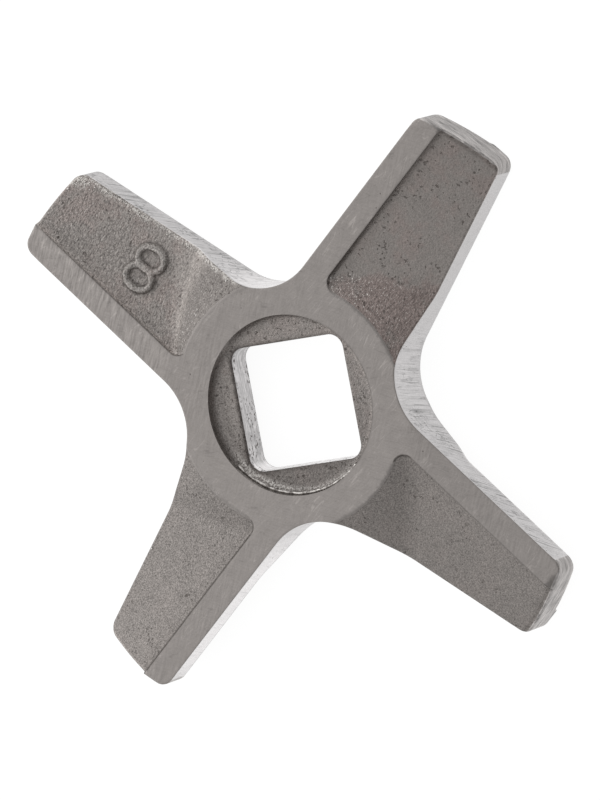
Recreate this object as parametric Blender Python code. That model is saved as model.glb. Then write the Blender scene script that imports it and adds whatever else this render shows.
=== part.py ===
"""Meat grinder knife: one casting with four blades, ground on both faces, that can be used either way up.

Each blade has a Z-shaped section. The upper face carries a ground land along one long edge, the lower face
one along the other, and a pocket falls away from each land to the far edge. The knife turns about +Z, its
lower face lies on the ground plane, and the flats of its square hole face along X and Y.
"""
import math

import bmesh
import bpy
from mathutils import Matrix, Vector

# Driving sizes, in metres
tip_diameter = 0.0540
thickness = 0.0050
hub_diameter = 0.0204
edge_offset = 0.0062  # from the axis to the line of each cutting edge
crotch_radius = 0.0056  # the round between two blades
land_width = 0.0022
land_height = 0.00045  # of the land over the pocket floor beside it
pocket_depth = 0.0023  # at the edge away from the land
pocket_corner_radius = 0.0010  # in plan, where the land meets the hub
tip_corner_radius = 0.0011  # in plan
recess_diameter = 0.0149
recess_depth = 0.0011
recess_floor_radius = 0.0007
bore_side = 0.0103
bore_corner_radius = 0.0012
overrun = 0.0010  # how far every cutter runs past the face it starts from

# Angles, counts and shares
blade_count = 4
blade_turn = math.tau / blade_count
first_blade_angle = blade_turn / 2
taper = math.radians(10.6)  # between the two long edges of a blade
ramp_angle = math.radians(24)  # of the hub's flank, down to the pocket floor
arc_step = math.radians(5)
small_arc_step = math.radians(18)
recess_steps = 72
floor_rows = 9
crotch_rows = 6
far_row_share = 1.15  # of the floor's width, where its last level line lies
crotch_sweep_share = 0.8  # of the way round to the middle of the crotch, where the cutter ends
weld_share = 0.0001  # of the thickness, below which two points are one

tip_radius = tip_diameter / 2
hub_radius = hub_diameter / 2
land_inner_offset = edge_offset - land_width
past_tip = tip_radius + overrun


def polar(radius, angle):
    return Vector((radius * math.cos(angle), radius * math.sin(angle)))


def arc(centre, radius, start, stop, step=arc_step):
    """Points along an arc, both ends included."""
    steps = math.ceil(abs(stop - start) / step)
    return [centre + polar(radius, start + (stop - start) * i / steps) for i in range(steps + 1)]


def tip_corner():
    """Round between the tip and a long edge, drawn for an edge that runs along +X on its left side."""
    centre_y = edge_offset - tip_corner_radius
    centre_x = math.sqrt((tip_radius - tip_corner_radius) ** 2 - centre_y ** 2)
    return arc(Vector((centre_x, centre_y)), tip_corner_radius,
               math.atan2(centre_y, centre_x), math.pi / 2, small_arc_step)


def turned(points, angle):
    turn = Matrix.Rotation(angle, 2)
    return [turn @ point for point in points]


def mirrored(points):
    return [Vector((point.x, -point.y)) for point in points]


def knife_outline():
    """The whole plan outline, counter-clockwise, blade after blade."""
    crotch_half = (blade_turn - taper) / 2
    crotch_distance = (edge_offset + crotch_radius) / math.cos(crotch_half)
    land_corner = turned(tip_corner(), -taper / 2)
    far_corner = mirrored(land_corner)
    tip_half = math.atan2(land_corner[0].y, land_corner[0].x)
    tip = arc(Vector((0, 0)), tip_radius, -tip_half, tip_half)
    blade = far_corner[::-1] + tip[1:-1] + land_corner
    outline = []
    for i in range(blade_count):
        middle = first_blade_angle + i * blade_turn
        inward = middle + blade_turn / 2 + math.pi
        crotch_centre = polar(-crotch_distance, inward)
        crotch = arc(crotch_centre, crotch_radius, inward + crotch_half, inward - crotch_half)
        outline += turned(blade, middle) + crotch
    return outline


def rounded_square():
    """The outline of the square hole, its flats along X and Y."""
    corner = bore_side / 2 - bore_corner_radius
    points = []
    for i in range(4):
        quarter = arc(Vector((corner, corner)), bore_corner_radius, 0, math.pi / 2, small_arc_step)
        points += turned(quarter, i * math.pi / 2)
    return points


def prism(name, outline, bottom, top):
    """A plate between two heights, from a counter-clockwise outline."""
    bm = bmesh.new()
    base = bm.faces.new([bm.verts.new((point.x, point.y, bottom)) for point in outline])
    raised = bmesh.ops.extrude_face_region(bm, geom=[base])
    lifted = [item for item in raised["geom"] if isinstance(item, bmesh.types.BMVert)]
    bmesh.ops.translate(bm, vec=(0, 0, top - bottom), verts=lifted)
    return finish(name, bm)


def finish(name, bm):
    """Turns a bmesh into an object of the scene, with its faces outward."""
    mesh = bpy.data.meshes.new(name)
    bmesh.ops.recalc_face_normals(bm, faces=bm.faces)
    bm.to_mesh(mesh)
    bm.free()
    made = bpy.data.objects.new(name, mesh)
    bpy.context.scene.collection.objects.link(made)
    return made


def floor_depth(share):
    """Depth of the pocket floor, by how far across it from the land to the far edge."""
    return land_height + (pocket_depth - land_height) * share


def ramp_run(depth):
    """How far out from the hub's edge its flank reaches a depth."""
    return depth * math.tan(math.pi / 2 - ramp_angle)


def floor_line(share):
    """A level line along the pocket floor, as its angle and its distance from the axis."""
    start = (1 - share) * land_inner_offset - share * edge_offset / math.cos(taper)
    angle = math.atan(share * math.tan(taper))
    return angle, start * math.cos(angle)


def on_floor_line(share, along):
    """The point a given way along a level line of the floor."""
    angle, offset = floor_line(share)
    return turned([Vector((along, offset))], angle)[0]


def floor_share(point):
    """How far across the floor a point lies: 0 at the land, 1 at the far edge."""
    far_edge = point.x * math.tan(taper) - edge_offset / math.cos(taper)
    return (land_inner_offset - point.y) / (land_inner_offset - far_edge)


def corner_centre():
    """Centre, in plan, of the round where the hub's flank turns into the land's upright wall."""
    centre_y = land_inner_offset - pocket_corner_radius
    return Vector((math.sqrt((hub_radius + pocket_corner_radius) ** 2 - centre_y ** 2), centre_y))


def corner_rows():
    """Rows round the pocket's corner, where the flank steepens until it stands upright at the land."""
    centre = corner_centre()
    edges = arc(centre, pocket_corner_radius, math.pi + math.atan2(centre.y, centre.x),
                math.pi / 2, small_arc_step)
    rows = []
    for i, edge in enumerate(edges[1:], start=1):
        lean_share = (1 - i / (len(edges) - 1)) ** 2
        run = min(ramp_run(floor_depth(floor_share(centre))) * lean_share, pocket_corner_radius)
        foot = edge.lerp(centre, run / pocket_corner_radius)
        rows.append((edge, foot, on_floor_line(floor_share(foot), past_tip), floor_share(foot)))
    return rows


def flank_rows():
    """Rows down the hub's flank, from just past the far edge to the pocket's corner."""
    last_share = floor_share(corner_centre())
    rows = []
    for i in range(floor_rows + 1):
        share = far_row_share + (last_share - far_row_share) * i / floor_rows
        foot_radius = hub_radius + ramp_run(floor_depth(share))
        offset = floor_line(share)[1]
        foot = on_floor_line(share, math.sqrt(foot_radius ** 2 - offset ** 2))
        rows.append((foot * hub_radius / foot_radius, foot, on_floor_line(share, past_tip), share))
    return rows


def crotch_rows_to(last_foot):
    """Rows round the hub's flank beside the crotch, all of them clear of the far edge."""
    last_angle = math.atan2(last_foot.y, last_foot.x)
    first_angle = last_angle + crotch_sweep_share * ((taper - blade_turn) / 2 - last_angle)
    rows = []
    for i in range(crotch_rows):
        outward = polar(1, first_angle + (last_angle - first_angle) * i / crotch_rows)
        rows.append((outward * hub_radius, outward * last_foot.length, outward * past_tip, far_row_share))
    return rows


def pocket_cutter():
    """Cuts the upper pocket of a blade along +X, as a loft of sections that run out from the hub's edge."""
    flank = flank_rows()
    rows = crotch_rows_to(flank[0][1]) + flank + corner_rows()
    above = thickness + overrun
    bm = bmesh.new()
    sections = []
    for edge, foot, end, share in rows:
        height = thickness - floor_depth(share)
        corners = [(edge, above), (edge, thickness), (foot, height), (end, height), (end, above)]
        sections.append([bm.verts.new((point.x, point.y, level)) for point, level in corners])
    for near, far in zip(sections, sections[1:]):
        for i in range(len(near)):
            bm.faces.new((near[i - 1], near[i], far[i], far[i - 1]))
    bm.faces.new(sections[0])
    bm.faces.new(sections[-1])
    bmesh.ops.rotate(bm, cent=(0, 0, 0), matrix=Matrix.Rotation(-taper / 2, 3, "Z"), verts=bm.verts)
    return finish("pocket_cutter", bm)


def turn_over():
    """Half a turn about the X axis at mid thickness, which swaps the two faces."""
    middle_height = Matrix.Translation((0, 0, thickness / 2))
    return middle_height @ Matrix.Rotation(math.pi, 4, "X") @ middle_height.inverted()


def all_pocket_cutters():
    """The upper pockets of all blades, and the same turned over for the lower face."""
    single = pocket_cutter()
    bm = bmesh.new()
    for i in range(blade_count):
        place = Matrix.Rotation(first_blade_angle + i * blade_turn, 4, "Z")
        for side in (Matrix.Identity(4), turn_over()):
            copy = single.data.copy()
            copy.transform(place @ side)
            bm.from_mesh(copy)
            bpy.data.meshes.remove(copy)
    bpy.data.objects.remove(single)
    return finish("pocket_cutters", bm)


def recess_cutter():
    """Turned cutter for the round recess about the hole, once for each face."""
    radius = recess_diameter / 2
    floor = thickness - recess_depth
    fillet = arc(Vector((radius - recess_floor_radius, floor + recess_floor_radius)),
                 recess_floor_radius, -math.pi / 2, 0, small_arc_step)
    profile = [Vector((0, floor))] + fillet + [Vector((radius, thickness + overrun)),
                                               Vector((0, thickness + overrun))]
    bm = bmesh.new()
    verts = [bm.verts.new((point.x, 0, point.y)) for point in profile]
    edges = [bm.edges.new(pair) for pair in zip(verts, verts[1:])]
    bmesh.ops.spin(bm, geom=verts + edges, axis=(0, 0, 1), cent=(0, 0, 0),
                   angle=math.tau, steps=recess_steps, use_merge=True)
    bmesh.ops.remove_doubles(bm, verts=bm.verts, dist=thickness * weld_share)
    lower = bpy.data.meshes.new("lower_recess")
    bm.to_mesh(lower)
    lower.transform(turn_over())
    bm.from_mesh(lower)
    bpy.data.meshes.remove(lower)
    return finish("recess_cutters", bm)


def cut(body, cutter):
    cutter.hide_render = True
    cutter.display_type = "WIRE"
    modifier = body.modifiers.new(cutter.name, "BOOLEAN")
    modifier.operation = "DIFFERENCE"
    modifier.solver = "EXACT"
    modifier.object = cutter


def cast_steel():
    material = bpy.data.materials.new("cast_steel")
    material.use_nodes = True
    surface = material.node_tree.nodes["Principled BSDF"]
    surface.inputs["Base Color"].default_value = (0.38, 0.36, 0.34, 1)
    surface.inputs["Metallic"].default_value = 1
    surface.inputs["Roughness"].default_value = 0.42
    return material


def build():
    for old in list(bpy.data.objects):
        bpy.data.objects.remove(old)
    knife = prism("knife", knife_outline(), 0, thickness)
    knife.data.materials.append(cast_steel())
    cut(knife, all_pocket_cutters())
    cut(knife, recess_cutter())
    cut(knife, prism("bore_cutter", rounded_square(), -overrun, thickness + overrun))
    return knife


build()
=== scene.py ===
import math
import bmesh
import bpy
import numpy as np
from mathutils import Matrix, Vector
from mathutils.geometry import delaunay_2d_cdt


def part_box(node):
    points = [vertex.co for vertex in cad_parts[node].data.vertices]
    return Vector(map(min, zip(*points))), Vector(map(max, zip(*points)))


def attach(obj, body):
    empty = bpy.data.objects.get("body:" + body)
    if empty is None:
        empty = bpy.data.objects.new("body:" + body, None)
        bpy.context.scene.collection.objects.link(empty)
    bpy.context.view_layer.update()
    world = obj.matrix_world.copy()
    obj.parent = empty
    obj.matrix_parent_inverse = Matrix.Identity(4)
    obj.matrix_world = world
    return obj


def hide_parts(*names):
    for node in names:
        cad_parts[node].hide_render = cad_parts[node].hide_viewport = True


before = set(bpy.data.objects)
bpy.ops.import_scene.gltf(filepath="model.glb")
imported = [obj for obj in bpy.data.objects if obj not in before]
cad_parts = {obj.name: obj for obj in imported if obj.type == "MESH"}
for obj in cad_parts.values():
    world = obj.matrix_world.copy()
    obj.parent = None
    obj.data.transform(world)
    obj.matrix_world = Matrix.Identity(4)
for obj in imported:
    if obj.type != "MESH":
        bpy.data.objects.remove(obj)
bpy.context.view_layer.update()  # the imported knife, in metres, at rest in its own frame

print("frame loaded")

mm = 0.001
knifeLow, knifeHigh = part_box("knife")

# The plan and the height of both faces are worked out in millimetres, in numpy

castingForm = {  # millimetres and degrees, the sizes of the solid
    "thickness": (knifeHigh[2] - knifeLow[2]) / mm,
    "tipDiameter": 54.0,
    "hubDiameter": 20.4,
    "edgeOffset": 6.2,
    "crotchRadius": 5.6,
    "landWidth": 2.2,
    "landHeight": 0.45,
    "pocketDepth": 2.3,
    "pocketCornerRadius": 1.0,
    "tipCornerRadius": 1.1,
    "recessDiameter": 14.9,
    "recessDepth": 1.1,
    "recessFillet": 0.75,
    "boreSide": 10.3,
    "boreCornerRadius": 1.2,
    "taper": 10.6,
    "flankAngle": 24.0,
}

castingMesh = {  # millimetres, how finely the surface is drawn
    "outlineStep": 0.2,
    "cornerStep": 0.11,
    "surfaceStep": 0.19,
    "numeralStep": 0.075,
    "stepRun": 0.18,  # of the land's wall, in plan
    "recessRun": 0.04,
    "rimShares": (0.134, 0.5, 1.0),  # of a rim's radius, where its rows lie
    "rimCollar": 0.14,  # the row just inside the rim
    "boreCollar": 1.5,  # and about the hole, as a share of its rim's radius
    "rimClear": 0.2,  # what the other rows keep from the rims
    "tipRow": 0.42,  # how far in from the tips one more row lies
    "footStep": 0.16,  # along the land's wall
    "jitter": 0.16,  # of a step, how far out of place the points between the rows are
    "closest": 0.42,  # of a step, how near to a row they may lie
    "numeralReach": 3.0,  # how far about the numeral they lie closer together
    "batch": 3000,  # how many points are measured at a time
    "wallRows": 13,
    "boreRows": 9,
    "recessStations": 236,
    "seed": 8,
}

edgeRounds = {  # millimetres, of the upper and lower rims
    "land": 0.05,
    "far": 0.13,
    "crotch": 0.07,
    "farCrotch": 0.07,
    "tip": 0.15,
    "bore": 0.15,
}

bladeWear = {  # by blade, in turn: upper right, upper left, lower left, lower right
    "grain": (0.2, 1.0, 0.22, 0.16),
    "speckle": (1.1, 1.6, 2.7, 2.0),
    "flankGrain": (0.8, 0.6, 0.35, 0.25),  # on the hub's flank
    "sparks": (0.95, 0.45, 0.1, 0.05),  # painted glints, on the hub's flank too
    "strokes": (0.25, 1.0, 0.35, 0.2),  # of the stone, across the land
    "footRound": (0.3, 0.12, 0.35, 0.38),  # of the flank's foot
    "footSteep": (0.1, 0.55, 0.1, 0.0),  # how much steeper the flank is there
    "footGlow": (0.0, 0.17, 0.0, 0.0),  # painted light: how much brighter the skin is there than on the flank, with painted shade higher up the flank
    "flankTone": (0.93, 1.08, 0.99, 1.09),
    "fade": (0.1, 0.45, 0.45, 0.12),  # millimetres, over which the skin starts at the ring
    "line": (0.1, 0.0, 1.0, 0.3),  # of painted shade on the brow of the step
    "stepGlow": (0.0, 0.55, 0.0, 0.0),  # painted light: how much brighter the skin is on the step than on the floor
    "cornerShade": (0.0, 0.0, 0.0, 0.9),  # of painted shade round the pocket's corner
    "foot": (0.2, 0.04, 0.2, 0.08),  # of shade at the step's foot
    "pits": (0.8, 0.2, 0.1, 0.15),
    "rust": (0.5, 0.45, 0.05, 0.1),
    "flankRust": (0.85, 0.0, 0.05, 0.1),
    "tone": (1.10, 1.14, 0.90, 0.85),  # of the cast skin's brightness
    "groundTone": (1.0, 1.07, 1.0, 0.92),  # and of the land's
    "lip": (0.12, 0.0, 0.03, 0.11),  # millimetres, the ridge that grinding threw up along the tip
    "tipBevel": (0.25, 0.1, 0.06, 0.75),  # millimetres, the worn end of the land, at its step
    "crumbs": (0.0, 1.0, 0.03, 0.0),  # the grains left along the far edge
}

tipLip = {  # millimetres
    "run": 0.36,  # how far in from the tip the ridge reaches
    "waver": 0.035,
}

recessLook = {  # as by blade, for the cast skin of the recess
    "grain": 0.45,
    "speckle": 2.0,
    "pits": 0.8,
    "rust": 0.2,
}

numeral = {  # millimetres from the axis, along and across the second blade
    "blade": 1,
    "rings": ((17.24, -1.86), (17.20, -0.12)),
    "along": 1.2,  # half the height of a ring, to the middle of its stroke
    "across": 0.92,
    "stroke": 0.35,  # half its width
    "height": 0.36,
}

wallLook = {  # of the long edges, by blade: each stretch was ground in its own pass, and the tones are partly painted light and shade, each wall lighter or darker as it faces the light
    "tone": {
        "tip": (1.0, 0.95, 1.0, 1.12),
        "land": (1.25, 1.0, 1.5, 0.94),
        "far": (0.97, 0.92, 1.0, 1.2),
        "crotch": (1.42, 1.1, 1.1, 0.98),
        "farCrotch": (1.0, 1.42, 1.15, 1.1),
    },
    "grain": {  # depth of the lines across them
        "tip": (0.5, 0.5, 0.5, 0.5),
        "land": (0.3, 1.0, 0.25, 1.0),
        "far": (0.1, 1.1, 0.3, 0.5),
        "crotch": (0.3, 0.5, 0.3, 0.8),
        "farCrotch": (0.7, 0.5, 0.3, 0.5),
    },
    "slant": {  # how far those lines lean, as a share of their height
        "tip": (0.3, 0.3, 0.3, 0.3),
        "land": (0.3, 0.3, 0.3, 0.65),
        "far": (0.3, 0.45, 0.3, 0.3),
        "crotch": (0.2, 0.2, 0.2, 0.2),
        "farCrotch": (0.14, 0.2, 0.2, 0.2),
    },
}

quarter = math.tau / 4
tipRadius = castingForm["tipDiameter"] / 2
hubRadius = castingForm["hubDiameter"] / 2
recessRadius = castingForm["recessDiameter"] / 2
taper = math.radians(castingForm["taper"])
landInner = castingForm["edgeOffset"] - castingForm["landWidth"]
stepFoot = landInner - castingMesh["stepRun"]
thickness = castingForm["thickness"]
faceZone, edgeZone, tipZone, boreZone = range(4)  # which of the finishes a face of the mesh gets


def turned(points, angle):
    c, s = math.cos(angle), math.sin(angle)
    return points @ np.array([[c, s], [-s, c]])


def flipped(points):  # across the centre line of the first blade
    return points * (1, -1)


def arcPoints(centre, radius, start, stop, step):
    count = max(2, math.ceil(abs(stop - start) * radius / step) + 1)
    angles = np.linspace(start, stop, count)
    return np.stack([centre[0] + radius * np.cos(angles), centre[1] + radius * np.sin(angles)], 1)


def halfBlade():  # from the tip's middle to the crotch's, on the land's side
    form, fine = castingForm, castingMesh
    cornerY = form["edgeOffset"] - form["tipCornerRadius"]
    cornerX = math.sqrt((tipRadius - form["tipCornerRadius"]) ** 2 - cornerY ** 2)
    cornerAngle = math.atan2(cornerY, cornerX)
    tipStop = cornerAngle - taper / 2
    marks = [math.asin(y / tipRadius) - taper / 2 for y in (landInner, stepFoot)]
    even = np.linspace(0, tipStop, round(tipStop * tipRadius / fine["outlineStep"]) + 1)
    clear = [a for a in even if min(abs(a - m) for m in marks) * tipRadius > fine["outlineStep"] / 3]
    angles = np.array(sorted(clear + marks))
    tip = np.stack([tipRadius * np.cos(angles), tipRadius * np.sin(angles)], 1)
    corner = turned(arcPoints((cornerX, cornerY), form["tipCornerRadius"], cornerAngle,
                              math.pi / 2, fine["cornerStep"]), -taper / 2)
    crotchHalf = (quarter - taper) / 2
    crotchFar = (form["edgeOffset"] + form["crotchRadius"]) / math.cos(crotchHalf)
    crotch = arcPoints((crotchFar * math.cos(quarter / 2), crotchFar * math.sin(quarter / 2)),
                       form["crotchRadius"], quarter / 2 + math.pi + crotchHalf,
                       quarter / 2 + math.pi, fine["outlineStep"])
    steps = round(np.linalg.norm(crotch[0] - corner[-1]) / fine["outlineStep"])
    share = np.arange(1, steps)[:, None] / steps
    edge = corner[-1] + (crotch[0] - corner[-1]) * share
    zones = ["tip"] * (len(tip) + len(corner) - 1) + ["land"] * len(edge) + ["crotch"] * len(crotch)
    return np.concatenate([tip, corner[1:], edge, crotch]), zones


def wholeOutline():  # counter-clockwise, from the first blade's leading crotch
    half, zones = halfBlade()
    farZones = [{"land": "far", "crotch": "farCrotch"}.get(zone, zone) for zone in zones]
    blade = np.concatenate([flipped(half)[::-1], half[1:-1]])
    bladeZones = farZones[::-1] + zones[1:-1]
    points = np.concatenate([turned(blade, quarter * (i + 0.5)) for i in range(4)])
    looks = {}
    for name, table in wallLook.items():
        looks[name] = np.array([table[zone][i] for i in range(4) for zone in bladeZones])
    return points, bladeZones * 4, looks


def smoothRound(values, reach):  # evens out a row of values round a closed loop
    kernel = np.ones(2 * reach + 1) / (2 * reach + 1)
    return np.convolve(np.concatenate([values[-reach:], values, values[:reach]]), kernel, "valid")


outline, outlineZones, outlineLooks = wholeOutline()
outlineRun = np.roll(outline, -1, 0) - np.roll(outline, 1, 0)
outlineRun /= np.linalg.norm(outlineRun, axis=1)[:, None]
inward = np.stack([-outlineRun[:, 1], outlineRun[:, 0]], 1)
rimRounds = smoothRound(np.array([edgeRounds[zone] for zone in outlineZones]), 3)
tipShare = smoothRound(np.array([float(zone == "tip") for zone in outlineZones]), 1)
outlineLooks = {name: smoothRound(smoothRound(row, 9), 9) for name, row in outlineLooks.items()}
outlineRoad = np.cumsum(np.linalg.norm(outline - np.roll(outline, 1, 0), axis=1))  # the way to each station


def nearOutline(points):  # distance in from the outline, and the nearest station
    gaps, stations = np.empty(len(points)), np.empty(len(points), int)
    batch = castingMesh["batch"]
    for start in range(0, len(points), batch):
        part = points[start:start + batch]
        square = ((part[:, None] - outline[None]) ** 2).sum(2)
        stations[start:start + batch] = square.argmin(1)
    for side in (-1, 1):
        a, b = outline[stations], outline[(stations + side) % len(outline)]
        along = ((points - a) * (b - a)).sum(1) / ((b - a) ** 2).sum(1)
        gap = np.linalg.norm(points - a - (b - a) * np.clip(along, 0, 1)[:, None], axis=1)
        gaps = gap if side < 0 else np.minimum(gaps, gap)
    inside = ((points - outline[stations]) * inward[stations]).sum(1) > -1e-9
    return np.where(inside, gaps, -gaps), stations


def outsideBore(points):  # distance from the square hole, positive in the metal
    corner = castingForm["boreCornerRadius"]
    reach = np.abs(points) - (castingForm["boreSide"] / 2 - corner)
    return (np.linalg.norm(np.maximum(reach, 0), axis=1) + np.minimum(reach.max(1), 0)) - corner


def smoothMin(a, b, blend):
    share = np.clip(0.5 + 0.5 * (b - a) / blend, 0, 1)
    return b + (a - b) * share - blend * share * (1 - share)


def ease(start, stop, value):  # from 0 at the first value to 1 at the second
    share = np.clip((value - start) / (stop - start), 0, 1)
    return share * share * (3 - 2 * share)


def bladeFrame(points):  # which blade, and the place along its land's long edge
    index = (np.arctan2(points[:, 1], points[:, 0]) // quarter).astype(int) % 4
    angles = taper / 2 - quarter * (index + 0.5)
    c, s = np.cos(angles), np.sin(angles)
    return index, points[:, 0] * c - points[:, 1] * s, points[:, 0] * s + points[:, 1] * c


roundY = landInner - castingForm["pocketCornerRadius"]  # of the pocket's corner
cornerCentre = (math.sqrt((hubRadius + castingForm["pocketCornerRadius"]) ** 2 - roundY ** 2), roundY)
cornerBearing = math.atan2(cornerCentre[1], cornerCentre[0])


def waver(points, reach, seed):  # a smooth random wobble about 0, waves of about this length
    random = np.random.default_rng(seed)
    turns, phases = random.uniform(0, math.tau, 7), random.uniform(0, math.tau, 7)
    waves = math.tau / (reach * random.uniform(0.5, 1.6, 7))
    along = points[:, :1] * np.cos(turns) + points[:, 1:] * np.sin(turns)
    return np.sin(along * waves + phases).sum(1) / 7 ** 0.5


# The tips are turned, but the numbered blade's only as far as its land is wide
outlineBlade, _, outlineAcross = bladeFrame(outline)
turnedTip = (tipShare > 0.5) & ((outlineBlade != numeral["blade"]) | (outlineAcross > landInner))


def pocketFields(points):  # the pocket's depth, and where on it each point lies
    form = castingForm
    index, x, y = bladeFrame(points)
    farEdge = x * math.tan(taper) - form["edgeOffset"] / math.cos(taper)
    share = np.clip((landInner - y) / (landInner - farEdge), 0, 1.15)
    floor = form["landHeight"] + (form["pocketDepth"] - form["landHeight"]) * share
    fromRing, fromLand = np.hypot(x, y) - hubRadius, landInner - y
    dx, dy = x - cornerCentre[0], y - cornerCentre[1]
    bearing = np.arctan2(dy, dx) % math.tau
    inCorner = (bearing > quarter) & (bearing < math.pi + cornerBearing)
    edge = np.where(inCorner, form["pocketCornerRadius"] - np.hypot(dx, dy), np.minimum(fromRing, fromLand))
    footRound, footSteep = (np.array(bladeWear[name])[index] for name in ("footRound", "footSteep"))
    down = fromRing * math.tan(math.radians(form["flankAngle"])) / floor
    flank = floor * ((1 - footSteep * 0.25) * down + footSteep * np.maximum(down - 0.72, 0))
    depth = smoothMin(flank, floor, footRound)
    wall = edge * form["landHeight"] / castingMesh["stepRun"]
    depth = smoothMin(depth, wall, 0.02 + 0.12 * np.clip(depth / 0.3, 0, 1))
    depth = -smoothMin(-depth, np.zeros_like(depth), 0.04)
    steep = ease(0.05, 0.4, fromRing - edge)
    across = np.clip((form["edgeOffset"] - y) / form["landWidth"], 0, 1)
    return index, depth, edge, share, down, inCorner, steep, across


def recessDepth(points):
    form = castingForm
    inside = recessRadius - np.linalg.norm(points, axis=1)
    fillet = form["recessFillet"]
    t = fillet - np.clip(inside - castingMesh["recessRun"], 0, fillet)
    wall = (form["recessDepth"] - fillet) * np.clip(inside / castingMesh["recessRun"], 0, 1)
    return wall + np.sqrt(fillet ** 2 - t ** 2), inside


def numeralRise(points):  # its height, and the distance from the middle of its stroke
    x, y = turned(points, -quarter * (numeral["blade"] + 0.5)).T
    stroke = np.full(len(points), np.inf)
    for centreX, centreY in numeral["rings"]:
        ex, ey = (x - centreX) / numeral["along"], (y - centreY) / numeral["across"]
        ring = np.hypot(ex, ey)
        slope = np.hypot(ex / numeral["along"], ey / numeral["across"]) / np.maximum(ring, 1e-6)
        stroke = np.minimum(stroke, np.abs(ring - 1) / np.maximum(slope, 1e-6))
    return numeral["height"] * (1 - np.clip(stroke / numeral["stroke"], 0, 1) ** 2) ** 0.7, stroke


def roundDrop(gap, radius):  # how far a rim has fallen, by the distance in from the edge
    t = np.clip(radius - gap, 0, radius)
    return radius - np.sqrt(np.maximum(radius ** 2 - t ** 2, 0))


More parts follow.
